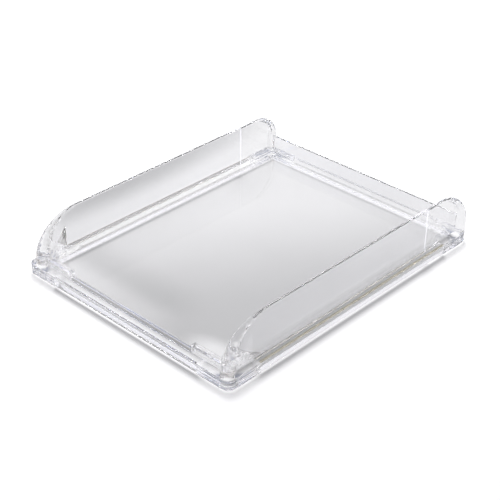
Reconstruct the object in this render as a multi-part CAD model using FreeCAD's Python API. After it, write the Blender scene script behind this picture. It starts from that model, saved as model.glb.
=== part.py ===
import FreeCAD, Part
import math
import os

# Clear stacking letter tray, in millimetres.
# +X is the right side seen from the open front, +Y points to the rear, +Z is up.
# The origin is the middle of the footprint, on the surface that the feet stand on.
os.makedirs("parts", exist_ok=True)
Vector = FreeCAD.Vector

# ---- overall sizes ----
CORNER_WIDTH = 262.0
CORNER_DEPTH = 332.0
CORNER_BULGE = 1.0
WALL_TOP = 56.0
REAR_WALL_TOP = 29.0
SHEET = 3.0
FOOT_HEIGHT = 0.8

# ---- base frame ----
RAIL_TOP = 11.5
RAIL_OUTER_X = CORNER_WIDTH / 2 - CORNER_BULGE
RAIL_OUTER_Y = CORNER_DEPTH / 2 - CORNER_BULGE
FLOOR_TOP = 8.0
FLOOR_THICKNESS = 2.5
SHELF_Z = FLOOR_TOP - FLOOR_THICKNESS
SHELF_LEDGE = 1.5
RAIL_EDGE_RADIUS = 1.6
RAIL_FOOT_RADIUS = 1.0
RAIL_INNER_EDGE_RADIUS = 0.3
BEAD_SIZE = 2.5

# ---- walls: distances from the origin to each inner face ----
SIDE_INNER_X = 119.5
SIDE_OUTER_X = SIDE_INNER_X + SHEET
REAR_INNER_Y = 157.5
REAR_OUTER_Y = REAR_INNER_Y + SHEET
FRONT_INNER_Y = -151.0
EAR_START_Y = 108.0
WALL_EDGE_RADIUS = 1.4

# ---- front lip with its wide finger notch ----
LIP_FRONT_Y = -158.5
LIP_REAR_Y = -151.5
LIP_TOP = 20.0
LIP_NOTCH_TOP = 12.3
LIP_NOTCH_HALF = 78.0
LIP_EDGE_RADIUS = 2.6
LIP_NOTCH_EDGE_RADIUS = 0.5

# ---- corner blocks ----
BLOCK_LENGTH_X = 38.0
BLOCK_LENGTH_Y = 38.0
BLOCK_CORNER_RADIUS = 8.0
RIB_COUNT = 4
RIB_EDGE_RADIUS = 1.0
FOOT_RADIUS = 5.0
FOOT_THICKNESS = 1.5
FOOT_CLEARANCE = 0.2
FOOT_INSET = 9.5
FOOT_EDGE_RADIUS = 0.3

# ---- horns: rounded beads that swell from the sheet's top edge down to an upright post ----
# Each horn leaves the top edge at start_y, reaches along Y and is upright from post_top down.
SHEET_MIDDLE_X = SIDE_INNER_X + SHEET / 2
HORN_TIP_RADIUS = SHEET / 2
HORN_GROWTH = 1.15
HORN_SECTIONS = 7
NOSE_HORN = {"start_y": -114.0, "reach": -48.5, "post_top": 14.0, "post_radius": 7.0, "post_x": 120.0}
EAR_HORN = {"start_y": 130.0, "reach": 35.5, "post_top": 28.0, "post_radius": 5.2, "post_x": 124.8}
EAR_SAG = 1.0

# ---- toe: the low flare that runs from the nose back along the wall's foot ----
TOE_START_Y = -98.0
TOE_END_Y = -152.0
TOE_SECTIONS = 6
TOE_TIP = 0.6
TOE_HEIGHT = 30.0
TOE_WIDTH = 6.5

# ---- cutting tools ----
FAR = 200.0
CUT_EXTRA = 1.0
SMALL = 0.01


def box(x_range, y_range, z_range):
    """A solid block between the given limits."""
    size = [high - low for low, high in (x_range, y_range, z_range)]
    corner = Vector(x_range[0], y_range[0], z_range[0])
    return Part.makeBox(size[0], size[1], size[2], corner)


def rounded_wire(corners, place):
    """A closed wire through (u, v, radius) corners, with each corner rounded by its radius."""
    count = len(corners)
    starts = []
    ends = []
    arcs = []
    for index in range(count):
        u, v, radius = corners[index]
        here = Vector(u, v, 0)
        before = Vector(corners[index - 1][0], corners[index - 1][1], 0)
        after = Vector(corners[(index + 1) % count][0], corners[(index + 1) % count][1], 0)
        to_before = (before - here).normalize()
        to_after = (after - here).normalize()
        half_angle = to_before.getAngle(to_after) / 2
        setback = radius / math.tan(half_angle)
        start = here + to_before * setback
        end = here + to_after * setback
        bisector = (to_before + to_after).normalize()
        middle = here + bisector * (radius / math.sin(half_angle) - radius)
        starts.append(place(start.x, start.y))
        ends.append(place(end.x, end.y))
        arcs.append(place(middle.x, middle.y) if radius > 0 else None)
    edges = []
    for index in range(count):
        if arcs[index] is not None:
            edges.append(Part.Arc(starts[index], arcs[index], ends[index]).toShape())
        edges.append(Part.LineSegment(ends[index], starts[(index + 1) % count]).toShape())
    return Part.Wire(edges)


def bar_along_y(corners, y_range):
    """A rail with an (x, z) section, running along Y."""
    wire = rounded_wire(corners, lambda u, v: Vector(u, y_range[0], v))
    return Part.Face(wire).extrude(Vector(0, y_range[1] - y_range[0], 0))


def bar_along_x(corners, x_range):
    """A rail with a (y, z) section, running along X."""
    wire = rounded_wire(corners, lambda u, v: Vector(x_range[0], u, v))
    return Part.Face(wire).extrude(Vector(x_range[1] - x_range[0], 0, 0))


def slab(corners, z_range):
    """A plate with an (x, y) outline."""
    wire = rounded_wire(corners, lambda u, v: Vector(u, v, z_range[0]))
    return Part.Face(wire).extrude(Vector(0, 0, z_range[1] - z_range[0]))


def mirrored(shape):
    """The same piece for the other side of the tray."""
    return shape.mirror(Vector(0, 0, 0), Vector(1, 0, 0))


def fillet_where(shape, radius, is_wanted):
    """Rounds every edge whose middle point passes the test."""
    edges = []
    for edge in shape.Edges:
        middle = edge.valueAt((edge.FirstParameter + edge.LastParameter) / 2)
        if is_wanted(middle, edge):
            edges.append(edge)
    return shape.makeFillet(radius, edges)


def outward_solid(solid):
    """The same solid with its faces turned outwards."""
    if solid.Volume < 0:
        solid.reverse()
    return solid


def write(node, shape):
    """One file for each separate piece."""
    solid = shape.removeSplitter()
    solid = solid.Solids[0] if len(solid.Solids) == 1 else solid
    print(node, "solids", len(solid.Solids), "valid", solid.isValid(), "volume", round(solid.Volume, 1))
    solid.exportStep("parts/" + node + ".step")


# ---- floor and base frame ----
def floor_panel():
    """The flat bed that the paper lies on, resting on the rails' inner shelf."""
    return box((-SIDE_INNER_X, SIDE_INNER_X), (FRONT_INNER_Y, REAR_INNER_Y), (SHELF_Z, FLOOR_TOP))


def side_rail():
    """The right base rail: an outer kerb, a shelf for the floor and a bead at the wall's foot."""
    shelf_x = SIDE_INNER_X - SHELF_LEDGE
    section = [
        (shelf_x, FOOT_HEIGHT, RAIL_FOOT_RADIUS / 2),
        (RAIL_OUTER_X, FOOT_HEIGHT, RAIL_FOOT_RADIUS),
        (RAIL_OUTER_X, RAIL_TOP, RAIL_EDGE_RADIUS),
        (SIDE_OUTER_X + BEAD_SIZE, RAIL_TOP, BEAD_SIZE),
        (SIDE_OUTER_X, RAIL_TOP + BEAD_SIZE, 0),
        (SIDE_OUTER_X, SHELF_Z, 0),
        (shelf_x, SHELF_Z, 0),
    ]
    half_length = CORNER_DEPTH / 2 - BLOCK_LENGTH_Y
    return bar_along_y(section, (-half_length, half_length))


def front_rail():
    """The front base rail, with a shelf for the floor's front edge."""
    shelf_y = FRONT_INNER_Y + SHELF_LEDGE
    section = [
        (shelf_y, FOOT_HEIGHT, RAIL_FOOT_RADIUS / 2),
        (-RAIL_OUTER_Y, FOOT_HEIGHT, RAIL_FOOT_RADIUS),
        (-RAIL_OUTER_Y, RAIL_TOP, RAIL_EDGE_RADIUS),
        (FRONT_INNER_Y, RAIL_TOP, RAIL_INNER_EDGE_RADIUS),
        (FRONT_INNER_Y, SHELF_Z, 0),
        (shelf_y, SHELF_Z, 0),
    ]
    half_length = CORNER_WIDTH / 2 - BLOCK_LENGTH_X
    return bar_along_x(section, (-half_length, half_length))


def rear_rail():
    """The rear base rail, a narrow kerb behind the rear wall."""
    shelf_y = REAR_INNER_Y - SHELF_LEDGE
    section = [
        (shelf_y, FOOT_HEIGHT, RAIL_FOOT_RADIUS / 2),
        (RAIL_OUTER_Y, FOOT_HEIGHT, RAIL_FOOT_RADIUS),
        (RAIL_OUTER_Y, RAIL_TOP, RAIL_EDGE_RADIUS),
        (REAR_OUTER_Y, RAIL_TOP, 0),
        (REAR_OUTER_Y, SHELF_Z, 0),
        (shelf_y, SHELF_Z, 0),
    ]
    half_length = CORNER_WIDTH / 2 - BLOCK_LENGTH_X
    return bar_along_x(section, (-half_length, half_length))


# ---- ribbed corner blocks and feet ----
def foot_centre(rear):
    """Where the right foot stands at the front or the rear."""
    y = CORNER_DEPTH / 2 - FOOT_INSET
    return Vector(CORNER_WIDTH / 2 - FOOT_INSET, y if rear else -y, 0)


def foot(rear):
    """A low round pad let into the underside of a corner block."""
    pad = Part.makeCylinder(FOOT_RADIUS, FOOT_THICKNESS, foot_centre(rear))

    def is_bottom_rim(middle, edge):
        return middle.z < SMALL and edge.Closed

    return fillet_where(pad, FOOT_EDGE_RADIUS, is_bottom_rim)


def corner_block(rear):
    """A right corner of the base frame, with horizontal ribs round its outside."""
    side = 1 if rear else -1
    outer_x = CORNER_WIDTH / 2
    outer_y = side * CORNER_DEPTH / 2
    inner_x = outer_x - BLOCK_LENGTH_X
    inner_y = outer_y - side * BLOCK_LENGTH_Y
    outline = [
        (inner_x, inner_y, 0),
        (inner_x, outer_y, 0),
        (outer_x, outer_y, BLOCK_CORNER_RADIUS),
        (outer_x, inner_y, 0),
    ]
    rib_height = (RAIL_TOP - FOOT_HEIGHT) / RIB_COUNT

    def on_outside(middle, edge):
        """True for the level edges that run round the outside of a rib."""
        level = abs(edge.Vertexes[0].Z - edge.Vertexes[-1].Z) < SMALL
        at_outer_y = side * middle.y > side * outer_y - BLOCK_CORNER_RADIUS / 2
        at_outer_x = middle.x > outer_x - BLOCK_CORNER_RADIUS / 2
        along_end = abs(middle.x - inner_x) < SMALL or abs(middle.y - inner_y) < SMALL
        return level and (at_outer_y or at_outer_x) and not along_end

    block = None
    for index in range(RIB_COUNT):
        low = FOOT_HEIGHT + index * rib_height
        rib = fillet_where(slab(outline, (low, low + rib_height)), RIB_EDGE_RADIUS, on_outside)
        block = rib if block is None else block.fuse(rib)

    wall_y = REAR_OUTER_Y if rear else FRONT_INNER_Y
    shelf_y = REAR_INNER_Y - SHELF_LEDGE if rear else FRONT_INNER_Y + SHELF_LEDGE
    shelf_x = SIDE_INNER_X - SHELF_LEDGE
    low_x = inner_x - CUT_EXTRA
    low_y = inner_y - side * CUT_EXTRA
    high_z = RAIL_TOP + CUT_EXTRA
    under_floor = box((low_x, shelf_x), sorted((low_y, shelf_y)), (0, high_z))
    above_shelf = box((low_x, SIDE_OUTER_X), sorted((low_y, wall_y)), (SHELF_Z, high_z))
    recess = Part.makeCylinder(FOOT_RADIUS + FOOT_CLEARANCE, FOOT_THICKNESS, foot_centre(rear))
    return block.cut(under_floor).cut(above_shelf).cut(recess)


# ---- horns ----
def horn_rings(horn):
    """Centre, radius and tilt of each ring of a horn, from the wall's top edge down."""
    reach = horn["reach"]
    height = WALL_TOP - horn["post_top"]
    rings = []
    for index in range(HORN_SECTIONS):
        turn = math.pi / 2 * index / (HORN_SECTIONS - 1)
        share = (index / (HORN_SECTIONS - 1)) ** HORN_GROWTH
        radius = HORN_TIP_RADIUS + (horn["post_radius"] - HORN_TIP_RADIUS) * share
        x = SHEET_MIDDLE_X + (horn["post_x"] - SHEET_MIDDLE_X) * share
        y = horn["start_y"] + reach * math.sin(turn)
        z = horn["post_top"] + height * math.cos(turn)
        outward = Vector(0, height * math.sin(turn), abs(reach) * math.cos(turn)).normalize()
        outward.y = math.copysign(outward.y, reach)
        tilt = math.degrees(math.atan2(-height * math.sin(turn), reach * math.cos(turn)))
        rings.append((Vector(x, y, z) - outward * radius, radius, tilt))
    return rings


def horn_solid(horn):
    """A bead that follows a quarter ellipse from the sheet's top edge, then an upright post."""
    sections = []
    for centre, radius, tilt in horn_rings(horn):
        circle = Part.makeCircle(radius, Vector(0, 0, 0), Vector(0, 1, 0))
        circle.rotate(Vector(0, 0, 0), Vector(1, 0, 0), tilt)
        circle.translate(centre)
        sections.append(Part.Wire(circle))
    curved = outward_solid(Part.makeLoft(sections, True, False))
    radius = horn["post_radius"]
    post_y = horn["start_y"] + horn["reach"] - math.copysign(radius, horn["reach"])
    post_foot = SHELF_Z - CUT_EXTRA
    post = Part.makeCylinder(radius, horn["post_top"] - post_foot, Vector(horn["post_x"], post_y, post_foot))
    return curved.fuse(post)


def toe():
    """The flare along the wall's foot, growing towards the nose."""
    sections = []
    for index in range(TOE_SECTIONS):
        share = index / (TOE_SECTIONS - 1)
        y = TOE_START_Y + (TOE_END_Y - TOE_START_Y) * share
        height = TOE_TIP + (TOE_HEIGHT - TOE_TIP) * share ** 2
        width = TOE_TIP / 2 + (TOE_WIDTH - TOE_TIP / 2) * share ** 2
        centre = Vector(SIDE_INNER_X, y, FLOOR_TOP)
        tip = centre + Vector(0, 0, height)
        side = centre + Vector(-width, 0, 0)
        curve = Part.Ellipse(tip, side, centre)
        sections.append(Part.Wire(curve.toShape()))
    return outward_solid(Part.makeLoft(sections, True, False))


def clear_of_base(shape, wall_y):
    """Trims a horn where the floor, the rails and the corner block are."""
    every_y = (-FAR, FAR)
    beyond_wall = sorted((wall_y, math.copysign(FAR, wall_y)))
    shape = shape.cut(box((0, SIDE_INNER_X), every_y, (0, FLOOR_TOP)))
    shape = shape.cut(box((SIDE_OUTER_X, FAR), every_y, (0, RAIL_TOP)))
    shape = shape.cut(box((0, FAR), beyond_wall, (0, RAIL_TOP)))
    return shape.cut(box((0, FAR), every_y, (0, SHELF_Z)))


def nose():
    """The solid right front end of the side wall: a horn with a toe."""
    inside_wall = box((0, SIDE_INNER_X), (-FAR, 0), (0, WALL_TOP))
    body = horn_solid(NOSE_HORN).fuse(toe().common(inside_wall))
    return clear_of_base(body, FRONT_INNER_Y)


# ---- walls ----
def sheet_to_horn(flat_top, horn):
    """A sheet in the side wall's plane, from its seam at EAR_START_Y to the middle of a horn."""
    path = [Vector(SIDE_INNER_X, centre.y, centre.z) for centre, radius, tilt in horn_rings(horn)]
    curve = Part.BSplineCurve()
    curve.interpolate(path)
    corners = [
        path[-1],
        Vector(SIDE_INNER_X, path[-1].y, SHELF_Z),
        Vector(SIDE_INNER_X, EAR_START_Y, SHELF_Z),
        Vector(SIDE_INNER_X, EAR_START_Y, flat_top),
        Vector(SIDE_INNER_X, horn["start_y"], WALL_TOP),
        path[0],
    ]
    edges = [curve.toShape()]
    for first, last in zip(corners, corners[1:]):
        edges.append(Part.LineSegment(first, last).toShape())
    sheet = Part.Face(Part.Wire(edges)).extrude(Vector(SHEET, 0, 0))

    def along_top(middle, edge):
        lowest = min(vertex.Z for vertex in edge.Vertexes)
        return lowest > WALL_TOP - HORN_TIP_RADIUS + SMALL and edge.Length > 2 * SHEET

    return fillet_where(sheet, WALL_EDGE_RADIUS, along_top)


def side_wall():
    """The right wall: a flat sheet whose front edge meets the nose."""
    sheet = sheet_to_horn(WALL_TOP, NOSE_HORN)
    return sheet.cut(nose()).cut(box((0, FAR), (-FAR, FRONT_INNER_Y), (0, RAIL_TOP)))


def ear():
    """The right rear end of the side wall, which rounds down into a post on the rear corner."""
    sheet = sheet_to_horn(WALL_TOP - EAR_SAG, EAR_HORN)
    return clear_of_base(sheet.fuse(horn_solid(EAR_HORN)), REAR_OUTER_Y)


def rear_wall():
    """The low wall between the two ears."""
    sheet = box((-SIDE_INNER_X, SIDE_INNER_X), (REAR_INNER_Y, REAR_OUTER_Y), (SHELF_Z, REAR_WALL_TOP))

    def is_top(middle, edge):
        return middle.z > REAR_WALL_TOP - SMALL and edge.Length > 2 * SHEET

    return fillet_where(sheet, WALL_EDGE_RADIUS, is_top)


def front_lip():
    """The bar across the front: high at both ends, low between them for the fingers."""
    end_x = SIDE_INNER_X
    y_range = (LIP_FRONT_Y, LIP_REAR_Y)
    high = box((LIP_NOTCH_HALF, end_x), y_range, (RAIL_TOP, LIP_TOP))

    def is_rounded(middle, edge):
        on_outer_end = middle.x > end_x - SMALL
        on_bottom = middle.z < RAIL_TOP + SMALL
        return not on_outer_end and not on_bottom

    def is_notch_edge(middle, edge):
        return middle.z > LIP_NOTCH_TOP - SMALL and edge.Length > end_x

    high = fillet_where(high, LIP_EDGE_RADIUS, is_rounded)
    low = box((-end_x, end_x), y_range, (RAIL_TOP, LIP_NOTCH_TOP))
    low = fillet_where(low, LIP_NOTCH_EDGE_RADIUS, is_notch_edge)
    noses = nose().fuse(mirrored(nose()))
    return low.fuse(high).fuse(mirrored(high)).cut(noses)


# ---- write every piece ----
write("floor_panel", floor_panel())
write("front_rail", front_rail())
write("rear_rail", rear_rail())
write("rear_wall", rear_wall())
write("front_lip", front_lip())
PAIRS = [
    ("{}_side_rail", side_rail()),
    ("{}_side_wall", side_wall()),
    ("front_{}_nose", nose()),
    ("rear_{}_ear", ear()),
    ("front_{}_corner", corner_block(False)),
    ("rear_{}_corner", corner_block(True)),
    ("front_{}_foot", foot(False)),
    ("rear_{}_foot", foot(True)),
]
for pattern, right_piece in PAIRS:
    write(pattern.format("right"), right_piece)
    write(pattern.format("left"), mirrored(right_piece))
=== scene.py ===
import bmesh
import bpy
import math
from mathutils import Matrix, Vector
from mathutils.bvhtree import BVHTree


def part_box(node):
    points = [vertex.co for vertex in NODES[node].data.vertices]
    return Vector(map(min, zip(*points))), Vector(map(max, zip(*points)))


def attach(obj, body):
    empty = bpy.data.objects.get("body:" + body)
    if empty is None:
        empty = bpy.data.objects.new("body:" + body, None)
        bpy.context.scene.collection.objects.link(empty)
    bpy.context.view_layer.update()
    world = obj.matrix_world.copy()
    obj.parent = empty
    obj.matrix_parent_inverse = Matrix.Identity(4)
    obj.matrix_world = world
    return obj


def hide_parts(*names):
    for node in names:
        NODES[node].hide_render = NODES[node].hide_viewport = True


# A clear letter tray on a white table. Metres, Z up, the open front faces -Y.
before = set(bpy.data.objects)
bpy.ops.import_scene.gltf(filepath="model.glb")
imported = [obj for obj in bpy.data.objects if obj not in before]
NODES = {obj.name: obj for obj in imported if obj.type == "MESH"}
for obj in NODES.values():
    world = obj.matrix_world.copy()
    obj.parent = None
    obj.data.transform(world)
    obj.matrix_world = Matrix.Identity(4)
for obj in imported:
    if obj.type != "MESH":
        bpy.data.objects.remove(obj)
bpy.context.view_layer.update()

# ---- clear acrylic ----
ACRYLIC_IOR = 1.49
POLISHED = 0.0
# The colour of the acrylic drifts softly between two tints.
FLOOR_TINTS = ((0.955, 0.955, 0.955), (0.975, 0.975, 0.975))
WALL_TINTS = ((0.955, 0.955, 0.965), (0.975, 0.975, 0.985))
CLEAN_TINTS = ((0.972, 0.972, 0.976), (0.988, 0.988, 0.99))
MOTTLE_SCALE = 14.0
MOTTLE_DETAIL = 2.0
MOTTLE_STOPS = (0.35, 0.65)
# The share of light that a face passes on to what lies beneath it.
FLOOR_SHADE = (0.95, 0.95, 0.95)
WALL_SHADE = (0.97, 0.97, 0.97)
MOULDING_SHADE = (0.96, 0.96, 0.96)
BASE_SHADE = (0.95, 0.95, 0.95)
# How much of that share is left on the upright faces of the base, and how level a face has to be to keep it.
EDGE_SHADE = 0.25
CORNER_EDGE_SHADE = 0.35
UPRIGHT_TO_LEVEL = (0.0, 0.7)
# The share of light that is scattered by the acrylic instead of passing through it.
SHEET_HAZE = 0.03
MOULDING_HAZE = 0.04
CORNER_HAZE = 0.04
BASE_HAZE = 0.03
FOOT_HAZE = 0.2
# Uneven moulded surfaces: how fine, how strong, how deep.
EAR_RIPPLE = (110.0, 0.3, 0.0012)
NOSE_RIPPLE = (150.0, 1.0, 0.0025)
RIPPLE_DETAIL = 1.0
# Painted shade: dark level lines in the outer corners of the base, for the dark streaks that the ribs show:
# how fine they are, how much they waver, which part of a wave is a line, how dark it gets, and where
# |x| + |y| is far enough out for the lines to start.
RIB_STREAK_SCALE = 165.0
RIB_STREAK_WAVER = 1.5
RIB_STREAK_WAVER_SCALE = 2.0
RIB_STREAK_LINE = (0.72, 0.95)
RIB_STREAK_DARKNESS = 0.95
RIB_STREAK_START = (0.264, 0.272)
RIB_STREAK_SHADE = (0.08, 0.1, 0.17)
# Painted light: a thin olive line along the outer top edge of the side rails: where it starts in |x| and in
# height.
EDGE_GLOW_OUT = (0.1272, 0.1282)
EDGE_GLOW_UP = (0.0101, 0.0107)
EDGE_GLOW_COLOUR = (0.5, 0.45, 0.3)

# ---- bonded joints between the moulded pieces ----
# Slot 0 of a piece is its acrylic, slot 1 a clear joint, and the seams below follow in order.
CLEAR_JOINT_SLOT = 1
FIRST_SEAM_SLOT = 2
CLEAR_JOINT = "bonded_joint"
# Which pieces a joint lies between, its name, the colour of its veil and how much the veil hides. The veil is
# cement, with painted light in its colour on the nose foot and the wall foot.
SEAMS = (
    ("side_wall", "ear", "ear_seam", (0.95, 0.95, 0.96), 0.85),
    ("rail", "corner", "rail_seam", (0.92, 0.92, 0.93), 0.2),
    ("side_wall", "nose", "nose_seam", (0.7, 0.68, 0.68), 0.06),
    # Painted reflection: the amber tint of this joint's veil stands for an orange-brown glint in the nose's
    # foot.
    ("corner", "nose", "nose_foot_seam_painted_glint", (0.45, 0.3, 0.2), 0.06),
    # Painted light: the olive tint of this joint's veil stands for a fringe of light along the wall's foot.
    ("side_rail", "side_wall", "wall_foot_seam_painted_fringe", (0.5, 0.49, 0.45), 0.12),
)
VEIL_SCALE = 300.0
VEIL_SPAN = (0.3, 0.7)
VEIL_THINNEST = 0.7
WELD = 1e-6
FLAT = 0.9999
SMALLEST_FLAT_AREA = 1e-6
PLANE_DECIMALS = 6
JOINT_STEP = 1e-4
JOINT_REACH = 3e-4
SHARP_ANGLE = math.radians(35)

# ---- camera: a square frame, looking down at the front right corner ----
CAMERA_DISTANCE = 1.16555
CAMERA_YAW = math.radians(43.30)
CAMERA_PITCH = math.radians(32.46)
CAMERA_ROLL = math.radians(0.4255)
CAMERA_LENS_MM = 87.76
CAMERA_SENSOR_MM = 36.0
CAMERA_SHIFT_X = -0.0054
CAMERA_SHIFT_Y = 0.0114
CAMERA_CLIP_END = 100

# ---- table ----
TABLE_SIZE = 12.0
TABLE_SEEN = 0.95
# To every ray but the camera's own, the table is darker and has tones fixed to its surface, so they show
# through and in the acrylic. They stand for the light that a real tray gathers and shades, and were
# chosen for the main view.
# Under the tray: a slope that gets lighter to the rear left.
TONE_SLOPE = (-1.0, 0.6, 0.0)
TONE_SPAN = (-0.1, 0.105)
TONE_UNDER = (0.42, 0.64)
# A band across the front left, from the front backwards: the gain at each stop, and where it ends in x.
BAND_SPAN = (-0.15, -0.07)
BAND_STOPS = (0.0, 0.15, 0.5, 1.0)
BAND_TONES = (1.25, 1.22, 0.84, 1.0)
BAND_FADE = (-0.01, 0.045)
# A bright patch at the front right. A scale under 1 makes it longer along that axis.
BRIGHT_PLACE = (0.088, -0.135, 0.0)
BRIGHT_SCALES = (0.5, 1.0, 1.0)
BRIGHT_SPAN = (0.005, 0.023)
BRIGHT_GAIN = 1.75
# Beyond the tray: tones for the front right and the rear left.
TRAY_HALF = (0.121, 0.15, 0.0)
BEYOND_BLUR = (0.0, 0.01)
BEYOND_SPAN = (-0.1, 0.1)
TONES_BEYOND = (0.82, 0.63)
# A brighter rim around the tray, and a long dim spot on its left.
RIM_SPAN = (0.01, 0.03)
RIM_GAIN = 1.4
DIM_PLACE = (-0.2, 0.02, 0.0)
DIM_SCALES = (1.0, 0.16, 1.0)
DIM_SPAN = (0.006, 0.045)
DIM_GAIN = 0.6

# ---- light ----
KEY_AZIMUTH = math.radians(-50)
KEY_ELEVATION = math.radians(50)
KEY_DISTANCE = 2.0
KEY_SIZE = 1.0
KEY_POWER = 50.0
# The surround is about twice as bright in reflections and refractions as where it lights the scene.
SKY_LIGHT = 0.52
SKY_SEEN_IN_ACRYLIC = 1.1
SKY_COLOUR = (0.98, 0.975, 1.025)
# Soft patches in the surround: azimuth, elevation, radius to the full colour and to none, and colour.
SKY_PATCHES = (
    (137, 35, 28, 50, (0.45, 0.45, 0.47)),
    (80, 15, 6, 12, (0.6, 0.22, 0.07)),
    (-140, 20, 5, 12, (0.1, 0.2, 0.7)),
)
LIGHT_BOUNCES = 48
SEE_THROUGH_BOUNCES = 64


# ---- node helpers ----
# The sockets of Blender's Mix node: its two numbers, its two colours and the colour that it gives.
MIX_NUMBERS = (2, 3)
MIX_FIRST_COLOUR = 6
MIX_SECOND_COLOUR = 7
MIX_COLOUR_OUT = 2


def new_material(name):
    """An empty node material and its node tree."""
    material = bpy.data.materials.new(name)
    material.use_nodes = True
    material.node_tree.nodes.clear()
    return material, material.node_tree


def add(tree, kind, **values):
    """A node with its input sockets or properties set by name."""
    node = tree.nodes.new(kind)
    for key, value in values.items():
        socket = key.replace("_", " ")
        if socket in node.inputs:
            node.inputs[socket].default_value = value
        else:
            setattr(node, key, value)
    return node


def own_place(tree):
    """The place on the surface, in the object's own space."""
    return add(tree, "ShaderNodeTexCoord").outputs["Object"]


def axes_of(tree, source):
    """The separate axes of a vector."""
    axes = add(tree, "ShaderNodeSeparateXYZ")
    tree.links.new(source, axes.inputs[0])
    return axes.outputs


def vector_step(tree, operation, source, value=(0.0, 0.0, 0.0), result="Vector"):
    """One step of vector arithmetic between a socket and a fixed vector."""
    step = add(tree, "ShaderNodeVectorMath", operation=operation)
    step.inputs[1].default_value = value
    tree.links.new(source, step.inputs[0])
    return step.outputs[result]


def number_step(tree, operation, first, second):
    """One step of arithmetic between two sockets."""
    step = add(tree, "ShaderNodeMath", operation=operation)
    tree.links.new(first, step.inputs[0])
    tree.links.new(second, step.inputs[1])
    return step.outputs[0]


def spread(tree, source, span, values=(0.0, 1.0)):
    """A soft step from the first value to the second as the source crosses the span."""
    step = add(tree, "ShaderNodeMapRange", interpolation_type="SMOOTHSTEP")
    step.inputs["From Min"].default_value = span[0]
    step.inputs["From Max"].default_value = span[1]
    step.inputs["To Min"].default_value = values[0]
    step.inputs["To Max"].default_value = values[1]
    tree.links.new(source, step.inputs["Value"])
    return step.outputs[0]


def either(tree, share, first, second):
    """A number between the first and the second. Each is a socket or a plain number."""
    step = add(tree, "ShaderNodeMix", data_type="FLOAT")
    tree.links.new(share, step.inputs[0])
    for value, socket in zip((first, second), MIX_NUMBERS):
        if isinstance(value, float):
            step.inputs[socket].default_value = value
        else:
            tree.links.new(value, step.inputs[socket])
    return step.outputs[0]


def tinted(tree, colour, share, tint):
    """Mixes a tint into the colour by the share."""
    shade = add(tree, "ShaderNodeMix", data_type="RGBA")
    shade.inputs[MIX_SECOND_COLOUR].default_value = (*tint, 1)
    tree.links.new(share, shade.inputs[0])
    tree.links.new(colour, shade.inputs[MIX_FIRST_COLOUR])
    return shade.outputs[MIX_COLOUR_OUT]


def far_from(tree, place, centre, scales):
    """The distance from a centre, with the offset scaled along each axis."""
    offset = vector_step(tree, "MULTIPLY", vector_step(tree, "SUBTRACT", place, centre), scales)
    return vector_step(tree, "LENGTH", offset, result="Value")


# ---- materials of the tray ----
def mottled(tree, low, high):
    """A soft noise that drifts between two colours."""
    noise = add(tree, "ShaderNodeTexNoise", Scale=MOTTLE_SCALE, Detail=MOTTLE_DETAIL)
    ramp = add(tree, "ShaderNodeValToRGB")
    for element, stop, colour in zip(ramp.color_ramp.elements, MOTTLE_STOPS, (low, high)):
        element.position = stop
        element.color = (*colour, 1)
    tree.links.new(own_place(tree), noise.inputs["Vector"])
    tree.links.new(noise.outputs["Fac"], ramp.inputs["Fac"])
    return ramp.outputs["Color"]


def rippled(tree, scale, strength, depth):
    """A faint uneven surface, as moulding leaves it."""
    noise = add(tree, "ShaderNodeTexNoise", Scale=scale, Detail=RIPPLE_DETAIL)
    bump = add(tree, "ShaderNodeBump", Strength=strength, Distance=depth)
    tree.links.new(own_place(tree), noise.inputs["Vector"])
    tree.links.new(noise.outputs["Fac"], bump.inputs["Height"])
    return bump.outputs["Normal"]


def painted_rib_streaks(tree, colour):
    """Painted shade: darkens the acrylic in fine level lines around the outer corner of the base."""
    place = own_place(tree)
    wave = add(tree, "ShaderNodeTexWave", bands_direction="Z", Scale=RIB_STREAK_SCALE, Distortion=RIB_STREAK_WAVER)
    wave.inputs["Detail Scale"].default_value = RIB_STREAK_WAVER_SCALE
    tree.links.new(place, wave.inputs["Vector"])
    line = spread(tree, wave.outputs["Fac"], RIB_STREAK_LINE, (0.0, RIB_STREAK_DARKNESS))
    outward = vector_step(tree, "DOT_PRODUCT", vector_step(tree, "ABSOLUTE", place), (1.0, 1.0, 0.0), "Value")
    near = spread(tree, outward, RIB_STREAK_START)
    return tinted(tree, colour, number_step(tree, "MULTIPLY", line, near), RIB_STREAK_SHADE)


def painted_edge_glow(tree, colour):
    """A painted thin olive line of light gathered along the outer top edge of the side rails."""
    axes = axes_of(tree, vector_step(tree, "ABSOLUTE", own_place(tree)))
    out = spread(tree, axes["X"], EDGE_GLOW_OUT)
    up = spread(tree, axes["Z"], EDGE_GLOW_UP)
    return tinted(tree, colour, number_step(tree, "MULTIPLY", out, up), EDGE_GLOW_COLOUR)


def shone_through(tree, shadow, edge):
    """A plain see-through surface, dimmed by the shadow colour and more where it stands upright."""
    normal = add(tree, "ShaderNodeTexCoord").outputs["Normal"]
    level = axes_of(tree, vector_step(tree, "ABSOLUTE", normal))["Z"]
    dimmed = add(tree, "ShaderNodeVectorMath", operation="SCALE")
    dimmed.inputs[0].default_value = shadow
    tree.links.new(spread(tree, level, UPRIGHT_TO_LEVEL, (edge, 1.0)), dimmed.inputs["Scale"])
    through = add(tree, "ShaderNodeBsdfTransparent")
    tree.links.new(dimmed.outputs[0], through.inputs["Color"])
    return through.outputs["BSDF"]


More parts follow.
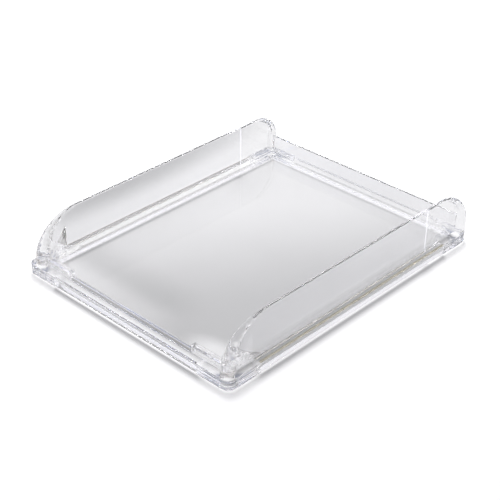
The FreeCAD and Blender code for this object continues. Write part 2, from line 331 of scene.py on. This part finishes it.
def clear_acrylic(name, tints, shadow, edge=1.0, haze=SHEET_HAZE, ripple=None, pattern=None):
    """Clear acrylic. It refracts what is seen in it, and is see-through to what lights the table."""
    material, tree = new_material(name)
    colour = mottled(tree, *tints)
    if pattern:
        colour = pattern(tree, colour)
    body = add(tree, "ShaderNodeBsdfPrincipled", Roughness=POLISHED, IOR=ACRYLIC_IOR)
    body.inputs["Transmission Weight"].default_value = 1.0 - haze
    tree.links.new(colour, body.inputs["Base Color"])
    if ripple:
        tree.links.new(rippled(tree, *ripple), body.inputs["Normal"])
    ray = add(tree, "ShaderNodeLightPath")
    lit = number_step(tree, "MAXIMUM", ray.outputs["Is Shadow Ray"], ray.outputs["Is Diffuse Ray"])
    mix = add(tree, "ShaderNodeMixShader")
    out = add(tree, "ShaderNodeOutputMaterial")
    tree.links.new(lit, mix.inputs["Fac"])
    tree.links.new(body.outputs["BSDF"], mix.inputs[1])
    tree.links.new(shone_through(tree, shadow, edge), mix.inputs[2])
    tree.links.new(mix.outputs["Shader"], out.inputs["Surface"])
    return material


def bonded():
    """The face between two bonded pieces, which light passes straight through."""
    material, tree = new_material(CLEAR_JOINT)
    clear = add(tree, "ShaderNodeBsdfTransparent")
    out = add(tree, "ShaderNodeOutputMaterial")
    tree.links.new(clear.outputs["BSDF"], out.inputs["Surface"])
    return material


def cement_and_glint_veil(name, colour, hidden):
    """A joint's face with a thin cement veil; on the nose foot and wall foot, its tint is painted light."""
    material, tree = new_material(name)
    noise = add(tree, "ShaderNodeTexNoise", Scale=VEIL_SCALE)
    veil = add(tree, "ShaderNodeBsdfTranslucent", Color=(*colour, 1))
    clear = add(tree, "ShaderNodeBsdfTransparent")
    mix = add(tree, "ShaderNodeMixShader")
    out = add(tree, "ShaderNodeOutputMaterial")
    tree.links.new(own_place(tree), noise.inputs["Vector"])
    cover = spread(tree, noise.outputs["Fac"], VEIL_SPAN, (VEIL_THINNEST * hidden, hidden))
    tree.links.new(cover, mix.inputs["Fac"])
    tree.links.new(clear.outputs["BSDF"], mix.inputs[1])
    tree.links.new(veil.outputs["BSDF"], mix.inputs[2])
    tree.links.new(mix.outputs["Shader"], out.inputs["Surface"])
    return material


# ---- pieces ----
def closed_mesh(node):
    """The node's surface as a closed bmesh."""
    shape = bmesh.new()
    shape.from_mesh(NODES[node].data)
    bmesh.ops.remove_doubles(shape, verts=shape.verts, dist=WELD)
    return shape


def flat_planes(shape):
    """The level and upright planes that a surface's flat faces lie in, as (axis, place)."""
    planes = set()
    for face in shape.faces:
        for axis in range(3):
            if abs(face.normal[axis]) > FLAT and face.calc_area() > SMALLEST_FLAT_AREA:
                planes.add((axis, round(face.verts[0].co[axis], PLANE_DECIMALS)))
    return planes


def cut_along(shape, planes, low, high):
    """Divides the faces where the planes cross them."""
    for axis, place in sorted(planes):
        if low[axis] + JOINT_STEP < place < high[axis] - JOINT_STEP:
            point = Vector()
            normal = Vector()
            point[axis] = place
            normal[axis] = 1
            everything = shape.verts[:] + shape.edges[:] + shape.faces[:]
            bmesh.ops.bisect_plane(shape, geom=everything, dist=WELD, plane_co=point, plane_no=normal)


def boxes_touch(first, second):
    """True if the two nodes' boxes overlap or meet."""
    (low_a, high_a), (low_b, high_b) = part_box(first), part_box(second)
    return all(
        low_a[axis] < high_b[axis] + JOINT_STEP and low_b[axis] < high_a[axis] + JOINT_STEP
        for axis in range(3)
    )


def within(place, box):
    """True if the place lies in the box or on it."""
    return all(low - JOINT_STEP < at < high + JOINT_STEP for at, low, high in zip(place, *box))


def joint_slot(node, other):
    """The material slot of the joint between two nodes."""
    for slot, (first, second, *rest) in enumerate(SEAMS, FIRST_SEAM_SLOT):
        if (first in node and second in other) or (first in other and second in node):
            return slot
    return CLEAR_JOINT_SLOT


def mark_joints(shape, node, neighbours, trees):
    """Gives each face that lies on a neighbour the material of that joint."""
    boxes = {other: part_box(other) for other in neighbours}
    for face in shape.faces:
        centre = face.calc_center_median()
        probe = centre + face.normal * JOINT_STEP
        for other in neighbours:
            if within(centre, boxes[other]):
                place, normal = trees[other].find_nearest(probe, JOINT_REACH)[:2]
                if place is not None and (probe - place).dot(normal) < 0:
                    face.material_index = joint_slot(node, other)


def moulded(node, surfaces, trees, planes):
    """The node's visible piece, with its bonded faces made invisible."""
    low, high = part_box(node)
    neighbours = [other for other in sorted(NODES) if other != node and boxes_touch(node, other)]
    shape = closed_mesh(node)
    cuts = set()
    for other in neighbours:
        cuts |= planes[other]
    cut_along(shape, cuts, low, high)
    mark_joints(shape, node, neighbours, trees)
    mesh = bpy.data.meshes.new(node + "_clear")
    shape.to_mesh(mesh)
    shape.free()
    for surface in surfaces:
        mesh.materials.append(surface)
    mesh.shade_smooth()
    mesh.set_sharp_from_angle(angle=SHARP_ANGLE)
    piece = bpy.data.objects.new(node + "_clear", mesh)
    bpy.context.scene.collection.objects.link(piece)
    evened = piece.modifiers.new("even_normals", "WEIGHTED_NORMAL")
    evened.keep_sharp = True
    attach(piece, "root")
    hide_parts(node)
    return piece


def slot_of(node):
    """The record's material slot that a node takes its finish from."""
    if "floor" in node:
        return "floor_sheet"
    if "wall" in node:
        return "wall_sheet"
    if "corner" in node:
        return "ribbed_corner"
    if "rail" in node:
        return "base_rail"
    if "foot" in node:
        return "foot_pad"
    return "clear_moulding"


def finish_of(node):
    """The finish of a node: the slot's own, or a rippled one on the noses and ears."""
    kind = node.rsplit("_", 1)[-1]
    return kind if kind in ("nose", "ear") else slot_of(node)


# ---- studio ----
def banded(tree, axes):
    """The gain of the painted light and dark bands across the front left of the tray."""
    ramp = add(tree, "ShaderNodeValToRGB")
    ramp.color_ramp.interpolation = "EASE"
    for stop in BAND_STOPS[1:-1]:
        ramp.color_ramp.elements.new(stop)
    for element, stop, tone in zip(ramp.color_ramp.elements, BAND_STOPS, BAND_TONES):
        element.position = stop
        element.color = (tone, tone, tone, 1)
    band = add(tree, "ShaderNodeMapRange")
    band.inputs["From Min"].default_value = BAND_SPAN[0]
    band.inputs["From Max"].default_value = BAND_SPAN[1]
    tree.links.new(axes["Y"], band.inputs["Value"])
    tree.links.new(band.outputs[0], ramp.inputs["Fac"])
    return either(tree, spread(tree, axes["X"], BAND_FADE), ramp.outputs["Color"], 1.0)


def tone_under(tree, place, along):
    """The table's painted light and shade under the tray."""
    tone = spread(tree, along, TONE_SPAN, TONE_UNDER)
    tone = number_step(tree, "MULTIPLY", tone, banded(tree, axes_of(tree, place)))
    distance = far_from(tree, place, BRIGHT_PLACE, BRIGHT_SCALES)
    return number_step(tree, "MULTIPLY", tone, spread(tree, distance, BRIGHT_SPAN, (BRIGHT_GAIN, 1.0)))


def tone_beyond(tree, place, along, outside):
    """The table's painted light and shade beyond the tray."""
    distance = far_from(tree, place, DIM_PLACE, DIM_SCALES)
    dim = spread(tree, distance, DIM_SPAN, (DIM_GAIN, 1.0))
    tone = number_step(tree, "MULTIPLY", spread(tree, along, BEYOND_SPAN, TONES_BEYOND), dim)
    return number_step(tree, "MULTIPLY", tone, spread(tree, outside, RIM_SPAN, (RIM_GAIN, 1.0)))


def table_white():
    """The table's surface: plain white where the camera sees it directly, with painted light and shade to
    every other ray.
    """
    material, tree = new_material("table_white")
    place = own_place(tree)
    along = vector_step(tree, "DOT_PRODUCT", place, TONE_SLOPE, "Value")
    apart = vector_step(tree, "SUBTRACT", vector_step(tree, "ABSOLUTE", place), TRAY_HALF)
    reach = axes_of(tree, apart)
    outside = number_step(tree, "MAXIMUM", reach["X"], reach["Y"])
    under = tone_under(tree, place, along)
    beyond = tone_beyond(tree, place, along, outside)
    toned = either(tree, spread(tree, outside, BEYOND_BLUR), under, beyond)
    ray = add(tree, "ShaderNodeLightPath")
    body = add(tree, "ShaderNodeBsdfDiffuse")
    out = add(tree, "ShaderNodeOutputMaterial")
    tree.links.new(either(tree, ray.outputs["Is Camera Ray"], toned, TABLE_SEEN), body.inputs["Color"])
    tree.links.new(body.outputs["BSDF"], out.inputs["Surface"])
    return material


def table():
    """The white table top that the tray stands on."""
    half = TABLE_SIZE / 2
    mesh = bpy.data.meshes.new("table")
    corners = [(-half, -half, 0), (half, -half, 0), (half, half, 0), (-half, half, 0)]
    mesh.from_pydata(corners, [], [(0, 1, 2, 3)])
    mesh.materials.append(table_white())
    top = bpy.data.objects.new("table", mesh)
    bpy.context.scene.collection.objects.link(top)


def direction(azimuth, elevation):
    """The way to a place around the tray. Azimuth is from +Y towards +X."""
    across = math.cos(elevation)
    return Vector((math.sin(azimuth) * across, math.cos(azimuth) * across, math.sin(elevation)))


def key_light():
    """One soft square lamp that faces the tray. The acrylic doesn't show it."""
    toward = direction(KEY_AZIMUTH, KEY_ELEVATION)
    lamp = bpy.data.lights.new("key", "AREA")
    lamp.size = KEY_SIZE
    lamp.energy = KEY_POWER
    holder = bpy.data.objects.new("key", lamp)
    holder.location = toward * KEY_DISTANCE
    holder.visible_glossy = False
    holder.visible_transmission = False
    holder.rotation_euler = toward.to_track_quat("Z", "Y").to_euler()
    bpy.context.scene.collection.objects.link(holder)


def sky():
    """A pale surround with soft patches, about twice as bright where the acrylic shows it."""
    world = bpy.data.worlds.new("studio")
    world.use_nodes = True
    tree = world.node_tree
    back = tree.nodes["Background"]
    place = add(tree, "ShaderNodeTexCoord").outputs["Generated"]
    colour = add(tree, "ShaderNodeRGB").outputs["Color"]
    colour.default_value = (*SKY_COLOUR, 1)
    for azimuth, elevation, full, clear, patch in SKY_PATCHES:
        centre = direction(math.radians(azimuth), math.radians(elevation))
        near = vector_step(tree, "DOT_PRODUCT", place, centre, "Value")
        edge = (math.cos(math.radians(clear)), math.cos(math.radians(full)))
        colour = tinted(tree, colour, spread(tree, near, edge), patch)
    tree.links.new(colour, back.inputs["Color"])
    ray = add(tree, "ShaderNodeLightPath")
    acrylic = number_step(tree, "MAXIMUM", ray.outputs["Is Glossy Ray"], ray.outputs["Is Transmission Ray"])
    tree.links.new(either(tree, acrylic, SKY_LIGHT, SKY_SEEN_IN_ACRYLIC), back.inputs["Strength"])
    bpy.context.scene.world = world


def camera():
    """The camera of the main view."""
    back = Vector((
        math.sin(CAMERA_YAW) * math.cos(CAMERA_PITCH),
        -math.cos(CAMERA_YAW) * math.cos(CAMERA_PITCH),
        math.sin(CAMERA_PITCH),
    ))
    level_right = (-back).cross(Vector((0, 0, 1))).normalized()
    level_up = level_right.cross(-back)
    right = level_right * math.cos(CAMERA_ROLL) + level_up * math.sin(CAMERA_ROLL)
    up = level_up * math.cos(CAMERA_ROLL) - level_right * math.sin(CAMERA_ROLL)
    data = bpy.data.cameras.new("camera")
    data.sensor_width = CAMERA_SENSOR_MM
    data.lens = CAMERA_LENS_MM
    data.shift_x = CAMERA_SHIFT_X
    data.shift_y = CAMERA_SHIFT_Y
    data.clip_end = CAMERA_CLIP_END
    holder = bpy.data.objects.new("camera", data)
    turn = Matrix((right, up, back)).transposed().to_4x4()
    holder.matrix_world = Matrix.Translation(back * CAMERA_DISTANCE) @ turn
    bpy.context.scene.collection.objects.link(holder)
    bpy.context.scene.camera = holder


# ---- build ----
FINISHES = {
    "floor_sheet": clear_acrylic("floor_sheet", FLOOR_TINTS, FLOOR_SHADE),
    "wall_sheet": clear_acrylic("wall_sheet", WALL_TINTS, WALL_SHADE),
    "clear_moulding": clear_acrylic("clear_moulding", CLEAN_TINTS, MOULDING_SHADE, haze=MOULDING_HAZE),
    "ear": clear_acrylic("ear", CLEAN_TINTS, MOULDING_SHADE, haze=MOULDING_HAZE, ripple=EAR_RIPPLE),
    "nose": clear_acrylic("nose", CLEAN_TINTS, MOULDING_SHADE, haze=MOULDING_HAZE, ripple=NOSE_RIPPLE),
    "ribbed_corner": clear_acrylic(
        "ribbed_corner", CLEAN_TINTS, BASE_SHADE, CORNER_EDGE_SHADE, haze=CORNER_HAZE, pattern=painted_rib_streaks
    ),
    "base_rail": clear_acrylic(
        "base_rail", CLEAN_TINTS, BASE_SHADE, EDGE_SHADE, haze=BASE_HAZE, pattern=painted_edge_glow
    ),
    "foot_pad": clear_acrylic("foot_pad", CLEAN_TINTS, BASE_SHADE, haze=FOOT_HAZE),
}
JOINTS = [bonded()] + [cement_and_glint_veil(*seam[2:]) for seam in SEAMS]
originals = {name: closed_mesh(name) for name in NODES}
planes = {name: flat_planes(shape) for name, shape in originals.items()}
trees = {name: BVHTree.FromBMesh(shape) for name, shape in originals.items()}
for name in sorted(NODES):
    piece = moulded(name, [FINISHES[finish_of(name)], *JOINTS], trees, planes)

table()
sky()
key_light()
camera()

scene = bpy.context.scene
scene.view_settings.view_transform = "Standard"
scene.cycles.max_bounces = LIGHT_BOUNCES
scene.cycles.transmission_bounces = LIGHT_BOUNCES
scene.cycles.glossy_bounces = LIGHT_BOUNCES
scene.cycles.transparent_max_bounces = SEE_THROUGH_BOUNCES
scene.cycles.use_denoising = True
scene.cycles.caustics_reflective = False
scene.cycles.caustics_refractive = False
